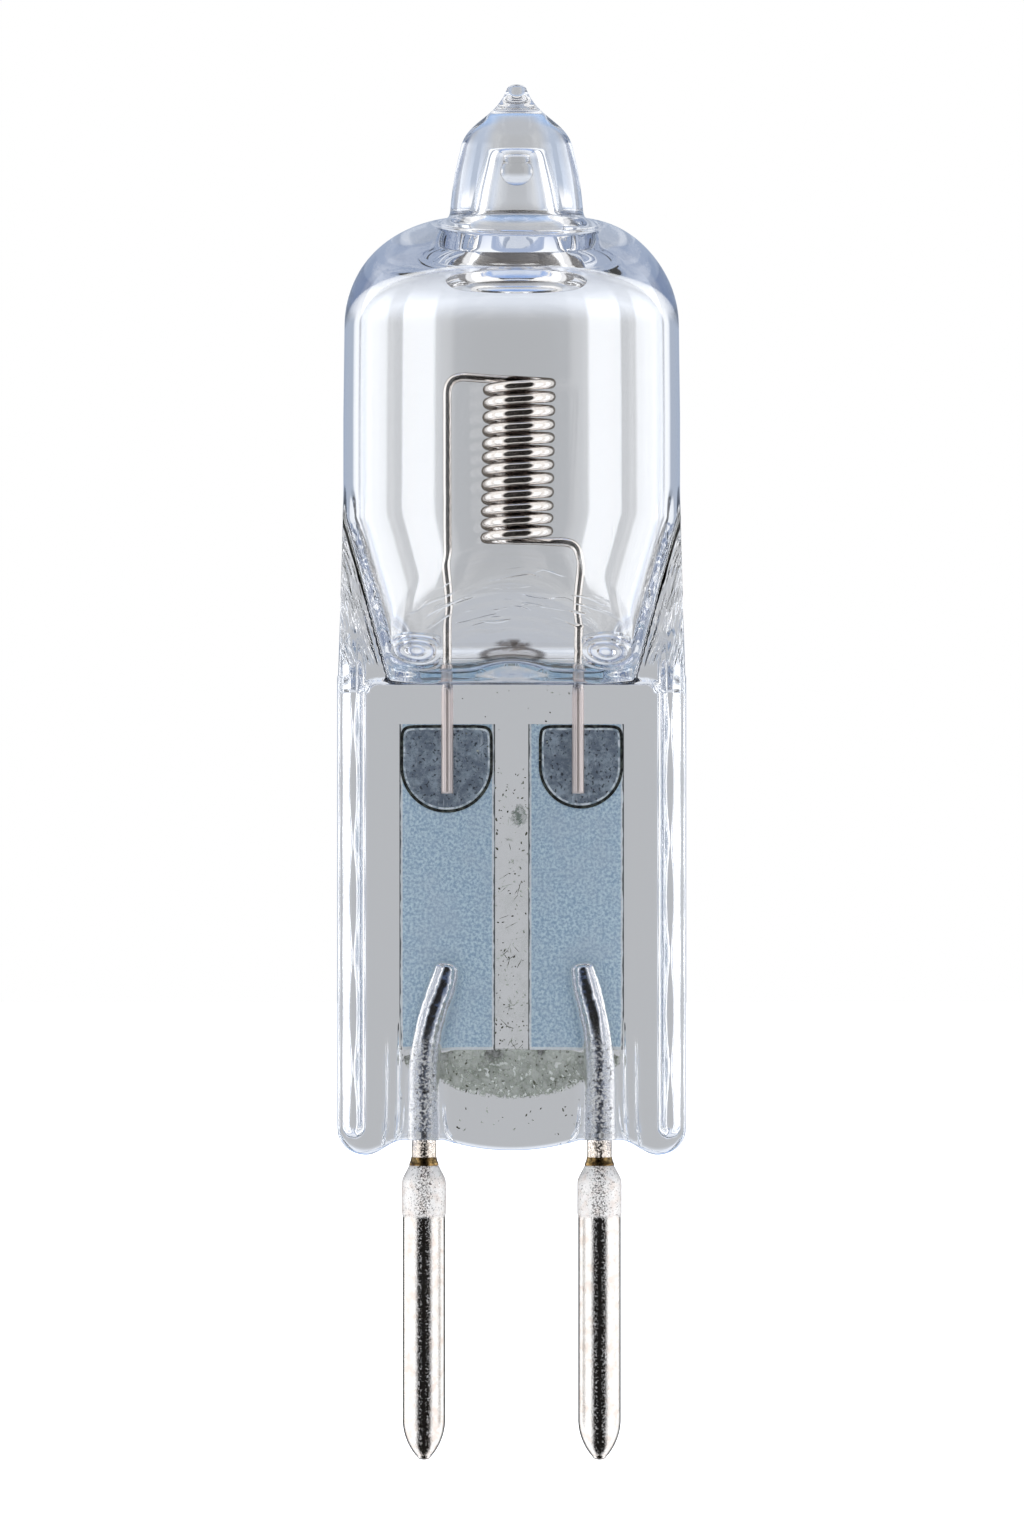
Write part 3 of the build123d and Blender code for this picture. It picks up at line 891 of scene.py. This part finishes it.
def cavityProfile():
    g = glassForm
    c = cavityForm
    s = stubForm
    wall = g.bulbRadius - g.bulbWall
    slope = atan2(c.crown - c.corner, wall)
    reach = c.round * tan((pi / 2 - slope) / 2)
    center = (wall - c.round, c.corner - reach)
    points = line((wall, g.wallLow), (wall, center[1]), 5)
    points += arc(center, (c.round,) * 2, 0, 90 - degrees(slope), 22)
    beadX, beadZ = s.bead
    beadOut = beadX + s.beadRadius[0]
    before, inward, down = s.beadEase
    crownLow = c.crown - (beadOut + before) * tan(slope)
    points += line(points[-1], (beadOut + before, crownLow), 8)
    points += bezier(
        points[-1], (beadOut - inward, crownLow), (beadOut, crownLow - down), (beadOut, beadZ), 6)
    points += arc((beadX, beadZ), s.beadRadius, 0, -180, 20)
    for segment in s.bore:
        points += bezier(points[-1], *segment)
    return points


def skinObject(rows, inward):
    clearSelection()
    bpy.ops.mesh.primitive_grid_add(x_subdivisions=len(rows[0]) - 1, y_subdivisions=len(rows) - 1, size=1)
    piece = bpy.context.active_object
    piece.data.vertices.foreach_set("co", [value * mm for row in rows for point in row for value in point])
    piece.data.update()
    mergeDoubles(1e-7, inward)
    bpy.ops.object.shade_smooth()
    return piece


rippleForm = Form(
    skin=(-0.55, -0.45), waver=700.0, mottle=(1700.0, 3.0), ior=1.458, depth=0.03,
    arcCenter=14.0, arcLow=(20.9, 21.6), arcHigh=(23.4, 24.4), arcHalf=(3.4, 4.2),
    arcGrain=(5.5, 4.0, 0.2), arcShare=(0.60, 0.70),
    eye=(3.42, 20.38), eyeHalf=(1.14, 0.6), eyeLines=(1.0, 0.66, 0.34), eyeInner=(2.5, 2.75),
    # shadeOff, shadeWide and shade set the painted bluish shade beside each ring
    eyeWide=0.16, shadeOff=0.13, shadeWide=0.1, shade=(0.42, 0.52, 0.80, 1),
    band=(19.36, 19.42, 19.85, 19.95), bandEnd=(4.2, 4.7), bluish=(0.60, 0.80, 1.0, 1),
    # where the dark oval lies on the cavity's floor; it and its core and rim colours below are painted
    # reflection
    stain=(0.03, 20.42), stainHalf=(1.15, 0.32), stainTop=(21.4, 21.5),
    cap=(0.75, 0.26), capRise=0.34,
    plain=(1.0, 1.0, 1.0, 1), reflectedDark=(0.30, 0.27, 0.25, 1), reflectedCore=(0.12, 0.085, 0.06, 1),
    rim=(0.05, 0.04, 0.035, 1),
    creaseWide=0.06, curl=(0.42, 0.66), curlLow=0.5, curlFall=0.3, curlWide=0.07,
    curlTop=(3.4, 4.2), iceGrain=(3.2, 0.35, 0.5), iceShare=(0.42, 0.66), iceIn=(0.02, 0.12),
    iceHigh=(19.7, 20.2, 24.6, 25.4),
    arcRise=0.6, eyeRise=1.4, creaseRise=1.6, iceRise=3.0,
)


def glassMaterial():
    g = glassForm
    r = rippleForm
    (lowY, lowZ), (highY, highZ) = g.wedgeLow, g.wedgeHigh
    material, place = newMaterial("clearSilica")
    x, y, z = place.axes()
    wide = abs(x)
    wedge = (z - lowZ) * ((highY - lowY) / (highZ - lowZ)) + lowY
    skin = (abs(y) - wedge).step(*r.skin)  # outside of the throat
    waver = place.noise(r.waver, 0.0) - 0.5
    mottle = place.noise(*r.mottle)

    # faint arcs across the throat
    up = z - r.arcCenter
    grainOut, grainTurn, grainDeep = r.arcGrain
    bent = place.add("ShaderNodeCombineXYZ", X=(x.away(up) + waver * 0.5) * grainOut,
                     Y=place.math("ARCTAN2", x, up) * grainTurn, Z=y * grainDeep)
    arcs = bent.noise(1.0, 1.0, 0.6).step(*r.arcShare) * (1 - wide.step(*r.arcHalf))
    arcs = arcs * z.between(*r.arcLow, *r.arcHigh)

    # oval rings at the foot of the throat
    acrossEye = (wide - r.eye[0] + waver * 0.25) / r.eyeHalf[0]
    upEye = (z - r.eye[1] + waver * 0.25) / r.eyeHalf[1]
    out = acrossEye.away(upEye)
    outside = wide.step(*r.eyeInner)
    rings = sum(1 - abs(out - at).step(0, r.eyeWide) for at in r.eyeLines) * outside
    # painted shade beside each ring line: a bluish tint standing in for the light the ring bends
    paintedRingShades = sum(1 - abs(out - at + r.shadeOff).step(0, r.shadeWide) for at in r.eyeLines) * outside

    # a bluish band under them, and on the cavity's floor a dark oval with a brownish core and a dark rim:
    # painted reflection of the dark front mirrored by the floor's mound
    band = z.between(*r.band) * mottle.step(0.4, 0.6) * (1 - wide.step(*r.bandEnd))
    # painted reflection: the oval, its core and its rim darken the glass where the floor's mound mirrors the
    # dark front
    offX = x - r.stain[0] + waver * 0.1
    offZ = z - r.stain[1] + waver * 0.1
    oval = (offX / r.stainHalf[0]).away(offZ / r.stainHalf[1])
    cap = (offX / r.cap[0]).away((offZ - r.capRise) / r.cap[1])
    inside = (1 - skin) * (1 - z.step(*r.stainTop))
    reflectedDark = (1 - oval.step(0.8, 0.95)) * inside
    reflectedCore = (1 - cap.step(0.6, 1.1)) * inside * mottle.step(0.36, 0.5)
    rim = (1 - abs(oval - 0.9 + offZ * 0.25).step(0.04, 0.26)) * inside
    color = layered(r, r.plain, [
        (paintedRingShades * skin * 0.8, "shade"), (band * skin * 0.8, "bluish"), (reflectedDark * 0.8, "reflectedDark"),
        (reflectedCore * 0.95, "reflectedCore"), (rim * 0.95, "rim")])

    # thin creases beside the leads and curls at their feet
    low = z - g.footLow
    flare = place.math("EXPONENT", low / -g.creaseFall) * g.creaseFlare
    creases = sum(1 - abs(wide - at - flare).step(0, r.creaseWide) for at in g.creaseX)
    creases = creases * (1 - z.step(*g.creaseTop))
    reach = place.math("EXPONENT", (low - r.curlLow) / -r.curlFall) * r.curl[0] + r.curl[1]
    curl = 1 - abs(abs(wide - pinForm.spacing / 2) - reach).step(0, r.curlWide)
    creases = creases + curl * (1 - z.step(*r.curlTop))

    # long streaks in the fins, along the throat's edges
    (slantX, slantZ), (slantHighX, slantHighZ) = g.slantLow, g.slantHigh
    beside = wide - (z - slantZ) * ((slantHighX - slantX) / (slantHighZ - slantZ)) - slantX
    grainOut, grainUp, grainDeep = r.iceGrain
    along = place.add("ShaderNodeCombineXYZ", X=beside * grainOut + waver * 0.6,
                      Y=z * grainUp, Z=y * grainDeep)
    ice = along.noise(1.0, 2.0, 0.6).step(*r.iceShare) * beside.step(*r.iceIn) * z.between(*r.iceHigh)

    height = (arcs * r.arcRise + rings * r.eyeRise) * skin + creases * r.creaseRise + ice * r.iceRise
    return feed(material, Base_Color=color, Roughness=0.0, IOR=r.ior, Transmission_Weight=1.0,
                Normal=height.bump(1.0, r.depth))


def makeGlass():
    outer = skinObject(outerSkin(), False)
    inner = skinObject(cavitySkin(), True)
    makeActive(outer)
    inner.select_set(True)
    bpy.ops.object.join()
    bpy.ops.object.transform_apply()
    finishPiece(outer, "glassEnvelope", ["glass_envelope"], glassMaterial())


# filament: a coil and two legs of one wire

coilForm = Form(
    x=0.23, radius=1.135, strand=0.188, tilt=0.05, turns=12, pitch=0.4835, low=24.37,
    perTurn=56, roundness=7,
    legRadius=0.16, legStart=0.02, legStep=0.08, thinning=0.7,
    legRise={"left": 0.2, "right": 0.0},
    cornerX={"left": 2.36, "right": 2.51}, corner=0.7, lean=1.3,
    footX={"left": 2.33, "right": 2.40}, footY=0.147, footTop=20.2, footEnd=15.25,
    footRadius=0.225, footSwell=(18.9, 19.5), dulled=(18.7, 19.5),
    # painted shade on the coil's inner side: the three pairs below place it, the last colour below is its
    # colour
    sootOut=(-0.10, -0.02), sootLow=(0.05, 0.25), sootSide=(0.4, 0.7),
    bright=(0.95, 0.92, 0.90, 1), drawn=(0.80, 0.76, 0.73, 1),
    coilShade=(0.05, 0.035, 0.03, 1), sealed=(0.98, 0.84, 0.78, 1),
)


def tungstenMaterial():
    c = coilForm
    material, place = newMaterial("tungstenWire")
    x, y, z = place.axes()
    draw = place.add("ShaderNodeMapping", Vector=place, Scale=(1.0, 1.0, 0.25)).noise(9000.0, 3.0)
    off = x - c.x
    # painted shade: the wire is darkened on the coil's inner side, where the turns face each other
    outside = (off.away(y) - c.radius).step(*c.sootOut)
    outside = place.math("MAXIMUM", outside, 1 - (z - c.low).step(*c.sootLow))
    coilShade = (1 - outside) * (1 - abs(off).step(*c.sootSide))  # painted shade on the coil's inner side, in its middle
    foot = 1 - z.step(*c.dulled)  # dulled in the seal
    color = layered(c, c.bright, [(draw, "drawn"), (coilShade, "coilShade"), (foot, "sealed")])
    return feed(material, Base_Color=color, Metallic=1 - foot * 0.5, Roughness=0.08 + draw * 0.08,
                Normal=draw.bump(0.12, 0.01))


def legRoute(side, sign, coilEnd):
    c = coilForm
    return roundedRoute(
        [(c.x + sign * (c.legStart - c.tilt), c.radius, coilEnd),
         (sign * c.cornerX[side], c.radius, coilEnd + c.legRise[side]),
         (sign * c.footX[side], c.footY, c.footTop),
         (sign * c.footX[side], c.footY, c.footEnd)],
        [c.corner, c.lean], c.legStep)


def legWidth(spot, top):  # thins away from the coil, thickens in the seal
    c = coilForm
    width = mixed(c.strand, c.legRadius, smoothStep((spot - top).length, 0, c.thinning))
    return mixed(c.footRadius, width, smoothStep(spot.z, *c.footSwell))


def makeFilament():
    c = coilForm
    high = c.low + c.turns * c.pitch
    start = legRoute("right", 1, c.low)
    end = legRoute("left", -1, high)
    points = [(*spot, legWidth(spot, start[0])) for spot in reversed(start)]
    count = c.turns * c.perTurn
    for n in range(1, count):
        turn = pi / 2 + 2 * pi * n / c.perTurn
        middle = c.x + mixed(-c.tilt, c.tilt, n / count)
        points.append((middle + c.radius * cos(turn), c.radius * sin(turn),
                       mixed(c.low, high, n / count), c.strand))
    points += [(*spot, legWidth(spot, end[0])) for spot in end]
    piece = wireObject(points, c.roundness)
    finishPiece(piece, "coiledFilament", ["filament"], tungstenMaterial())


# sealing foils

foilForm = Form(
    centerX=2.33, width=3.46, low=5.98, high=17.76, front=0.327, thick=0.05,
    edge=0.014, edgeSteps=2, smooth=40,
    borderSide=(-0.13, -0.10), borderLow=(0.09, 0.12), burr=0.12, burrEdge=(0.0, 0.03),
    shade=(0.35, 0.52, 0.70, 1), light=(0.74, 0.90, 1.0, 1), cloud=(0.60, 0.70, 0.82, 1),
    border=(1.0, 1.0, 1.0, 1), burnt=(0.03, 0.035, 0.035, 1),
)


def foilMaterial():
    f = foilForm
    material, place = newMaterial("etchedFoil")
    x, _, z = place.axes()
    fine = place.noise(9500.0, 2.0, 0.6)
    cloud = place.noise(900.0, 3.0)
    ragged = place.noise(2400.0, 4.0)
    beyond = abs(x - ((x > 0) * 2 - 1) * f.centerX) - f.width / 2  # beyond the side edge of each foil
    border = beyond.step(*f.borderSide) + (1 - (z - f.low).step(*f.borderLow))
    burnt = (beyond + ragged * f.burr).step(*f.burrEdge)
    color = layered(f, f.shade, [
        (fine.step(0.32, 0.68), "light"), (cloud.step(0.4, 0.75) * 0.35, "cloud"),
        (border * 0.7, "border"), (burnt * 0.9, "burnt")])
    return feed(material, Base_Color=color, Metallic=0.05,
                Roughness=0.42 + fine * 0.2, Normal=fine.bump(0.5, 0.02))


def makeFoils():
    f = foilForm
    material = foilMaterial()
    middle = (f.low + f.high) / 2
    for side, sign in sides:
        clearSelection()
        bpy.ops.mesh.primitive_cube_add(
            size=1, location=(sign * f.centerX * mm, (f.front + f.thick / 2) * mm, middle * mm),
            scale=(f.width * mm, f.thick * mm, (f.high - f.low) * mm))
        piece = bpy.context.active_object
        bpy.ops.object.transform_apply()
        editAll()
        bpy.ops.mesh.bevel(offset=f.edge * mm, segments=f.edgeSteps, affect="EDGES")
        bpy.ops.object.mode_set(mode="OBJECT")
        bpy.ops.object.shade_smooth_by_angle(angle=radians(f.smooth))
        finishPiece(piece, f"sealFoil.{side}", [f"foil_{side}"], material)


# weld tabs: square above, round below

tabForm = Form(
    width={"left": 3.35, "right": 3.05}, straight=1.5, inset=0.03, points=128, square=9.0,
    thick=0.08, base=0.6, rim=0.11, lip=0.075, lipRise=0.025, smooth=35,
    rimAbove=0.64, borderBelow=0.7,  # shares of the thickness and of the lip
    shade=(0.17, 0.21, 0.27, 1), light=(0.40, 0.48, 0.57, 1),
    scratch=(0.75, 0.84, 0.92, 1), speck=(0.02, 0.025, 0.03, 1),
    # the look of the step round the plate: a painted shadow
    rimLook=dict(grain=(6000.0, 3.0), share=(0.4, 0.7), metallic=0.1, rough=(0.6, 0.2), bump=(0.5, 0.03),
                    colors=((0.012, 0.014, 0.012, 1), (0.09, 0.10, 0.085, 1))),
    borderLook=dict(grain=(4200.0, 3.0), share=(0.36, 0.6), metallic=0.1, rough=(0.35, 0.2),
                       colors=((0.30, 0.38, 0.46, 1), (0.86, 0.93, 0.98, 1))),
)


def tabMaterial():
    t = tabForm
    material, place = newMaterial("darkScratchedPlate")
    turned = place.add("ShaderNodeMapping", Vector=place, Rotation=(0, 0.25, 0), Scale=(1.0, 1.0, 0.12))
    scratch = turned.noise(5200.0, 4.0, 0.7)
    patch = place.noise(2600.0, 6.0, 0.75)
    speck = place.noise(8000.0, 3.0)
    color = layered(t, t.shade, [
        (patch.step(0.38, 0.66), "light"), (scratch.step(0.56, 0.72) * 0.55, "scratch"),
        (speck.step(0.58, 0.66) * 0.8, "speck")])
    return feed(material, Base_Color=color, Metallic=0.1, Roughness=0.34 + patch * 0.2,
                Normal=(scratch + speck).bump(0.5, 0.02))


def raisePlate(height):
    bpy.ops.mesh.extrude_region_move(TRANSFORM_OT_translate={"value": (0, -height * mm, 0)})


def makeTabs():
    t = tabForm
    f = foilForm
    plate = tabMaterial()
    # painted shadow: the step round each plate is coloured near black
    rim = grainMaterial("paintedShadowWeldEdge", **t.rimLook)
    border = grainMaterial("brightWeldBorder", **t.borderLook)
    for side, sign in sides:
        half = t.width[side] / 2
        x = sign * (f.centerX + f.width / 2 - t.inset - half)
        z = f.high - t.inset - t.straight
        clearSelection()
        bpy.ops.mesh.primitive_circle_add(vertices=t.points, radius=half * mm, fill_type="NGON")
        piece = bpy.context.active_object
        for vertex in piece.data.vertices:  # stand the disc up and square its upper half
            turn = atan2(vertex.co.y, vertex.co.x)
            c, s = cos(turn), sin(turn)
            if s > 0:
                c = copysign(abs(c) ** (2 / t.square), c)
                s = s ** (2 / t.square) * t.straight / half
            vertex.co = ((x + half * c) * mm, f.front * mm, (z + half * s) * mm)
        editAll()
        raisePlate(t.thick * t.base)
        bpy.ops.mesh.inset(thickness=t.rim * mm)
        raisePlate(t.thick * (1 - t.base))
        bpy.ops.mesh.inset(thickness=t.lip * mm, depth=-t.lipRise * mm)
        bpy.ops.mesh.select_all(action="SELECT")
        bpy.ops.mesh.normals_make_consistent(inside=False)
        bpy.ops.object.mode_set(mode="OBJECT")
        finishPiece(piece, f"weldTab.{side}", [f"weld_tab_{side}"], plate)
        piece.data.materials.append(rim)
        piece.data.materials.append(border)
        low = (f.front - t.thick * t.rimAbove) * mm
        high = (f.front - t.thick + t.lipRise * t.borderBelow) * mm
        for face in piece.data.polygons:  # the step round the plate is painted near black as the shadow of the tab's thickness, its lip is bright
            face.material_index = 1 if face.center.y > low else 2 if face.center.y < high else 0
        makeActive(piece)
        bpy.ops.object.shade_smooth_by_angle(angle=radians(t.smooth))


# flakes left in the seal between and below the foils

residueForm = Form(
    seed=41, size=(0.012, 0.034), stretch=(0.9, 2.4), strand=(9, 24), uneven=(0.7, 1.3),
    flat=0.4, depth=(0.05, 0.30), arcMiddle=4.2, arcSide=5.5, arcHalf=3.9,
    between=190, betweenTop=16.2, betweenFall=1.4,
    strands=34, strandInset=0.3, strandTop=15.4, strandFall=1.2,
    below=300, belowHalf=4.0,
    sparse=70, sparseX=(-2.4, 2.6), sparseLow=(2.9, 5.0), sparseHigh=(16.4, 19.2),
    sparseShare=0.6,
    look=dict(grain=(2600.0, 2.0), share=(0.44, 0.56), metallic=0.0, rough=(0.35, 0.3),
                 colors=((0.07, 0.075, 0.035, 1), (0.62, 0.66, 0.58, 1))),
)


def residueFloor(x):
    r = residueForm
    return mixed(r.arcMiddle, r.arcSide, (x / r.arcHalf) ** 2)


def makeResidue():
    r = residueForm
    low = foilForm.low
    draw = random.Random(r.seed)
    gap = foilForm.centerX - foilForm.width / 2
    inset = r.strandInset
    spots = []
    for n in range(r.between):
        spots.append((draw.uniform(-gap, gap), mixed(low, r.betweenTop, draw.random() ** r.betweenFall)))
    strandsFrom = len(spots)
    for n in range(r.strands):
        spots.append((draw.uniform(inset - gap, gap - inset),
                      mixed(low, r.strandTop, draw.random() ** r.strandFall)))
    strandsTo = len(spots)
    for n in range(r.below):
        x = draw.uniform(-r.belowHalf, r.belowHalf)
        spots.append((x, mixed(residueFloor(x), low, draw.random())))
    for n in range(r.sparse):
        x = draw.uniform(*r.sparseX)
        heights = r.sparseLow if draw.random() < r.sparseShare else r.sparseHigh
        spots.append((x, draw.uniform(*heights)))
    clearSelection()
    bpy.ops.mesh.primitive_ico_sphere_add(subdivisions=1, radius=mm)
    seed = bpy.context.active_object
    shape = seed.data.copy()
    copies = []
    for n, (x, z) in enumerate(spots):
        isStrand = strandsFrom <= n < strandsTo
        size = r.size[0] if isStrand else draw.uniform(*r.size)
        wide = size * draw.uniform(*r["strand" if isStrand else "stretch"])
        turn = draw.uniform(0, pi)
        depth = draw.uniform(*r.depth)
        data = shape.copy()
        for vertex in data.vertices:
            u = vertex.co.x * wide * draw.uniform(*r.uneven)
            v = vertex.co.z * size * draw.uniform(*r.uneven)
            vertex.co = (x * mm + u * cos(turn) - v * sin(turn),
                         depth * mm + vertex.co.y * size * r.flat,
                         z * mm + u * sin(turn) + v * cos(turn))
        flake = bpy.data.objects.new("flake", data)
        bpy.context.collection.objects.link(flake)
        copies.append(flake)
    last = copies.pop()
    seed.data = last.data
    bpy.data.objects.remove(last)
    makeActive(seed)
    for flake in copies:
        flake.select_set(True)
    bpy.ops.object.join()
    finishPiece(seed, "sealResidue", [], grainMaterial("sealFlakes", **r.look))


# haze sheet in the seal, in the same places

hazeForm = Form(
    half=4.1, top=16.2, depth=0.352, across=16, up=24, narrowing=(-0.1, 0.02),
    edge=(0, 0.12), foilEdge=(-0.02, 0.08), side=(3.75, 3.95), near=(-0.7, -0.05),
    strip=(5.98, 6.18, 9, 16), blob=(0.27, 14.45), blobHalf=(0.34, 0.44),
    dull=(0.20, 0.24, 0.17, 1), pale=(0.50, 0.54, 0.47, 1), bright=(0.96, 0.98, 0.94, 1),
    dark=(0.035, 0.045, 0.025, 1), blobColor=(0.17, 0.22, 0.18, 1),
)


def hazeMaterial():
    h = hazeForm
    r = residueForm
    material, place = newMaterial("sealHaze")
    x, _, z = place.axes()
    cloud = place.noise(1500.0, 5.0, 0.65)
    grit = place.noise(5200.0, 3.0, 0.6)
    up = z - foilForm.low
    curve = (r.arcSide - r.arcMiddle) / r.arcHalf ** 2
    over = z - r.arcMiddle - x * x * curve + (grit - 0.5) * 0.6
    patch = over.step(*h.edge) * (1 - up.step(*h.foilEdge)) * (1 - abs(x).step(*h.side))
    near = up.step(*h.near)  # darker under the foils' lower edges
    strip = z.between(*h.strip)
    out = ((x - h.blob[0]) / h.blobHalf[0]).away((z - h.blob[1]) / h.blobHalf[1])
    blob = 1 - (out + (grit - 0.5) * 1.6).step(0.7, 0.95)
    color = layered(h, h.dull, [
        (cloud.step(0.36, 0.66), "pale"), (grit.step(0.57, 0.62) * (1 - near * 0.6), "bright"),
        (near * (1 - cloud.step(0.38, 0.5)), "dark"), (blob, "blobColor")])
    alpha = blob * (0.35 + grit.step(0.42, 0.55) * 0.5)
    alpha = alpha + patch * (0.62 + grit.step(0.4, 0.6) * 0.25) + strip * cloud.step(0.4, 0.7) * 0.22
    return feed(material, Base_Color=color, Roughness=0.7 + grit * 0.2, Alpha=alpha)


def makeHaze():
    h = hazeForm
    f = foilForm
    low = residueForm.arcMiddle
    gap = f.centerX - f.width / 2
    clearSelection()
    bpy.ops.mesh.primitive_grid_add(x_subdivisions=h.across, y_subdivisions=h.up, size=1)
    piece = bpy.context.active_object
    for vertex in piece.data.vertices:  # stand the sheet up and narrow it between the foils
        z = mixed(low, h.top, vertex.co.y + 0.5)
        half = mixed(h.half, gap, smoothStep(z - f.low, *h.narrowing))
        vertex.co = (2 * half * vertex.co.x * mm, h.depth * mm, z * mm)
    piece.data.update()
    finishPiece(piece, "sealHaze", [], hazeMaterial())


makeCamera()
makeWorld()
makeFloor()
setView()
makeGlass()
makePins()
makeBraze()
makeLeads()
makeFilament()
makeFoils()
makeTabs()
makeResidue()
makeHaze()
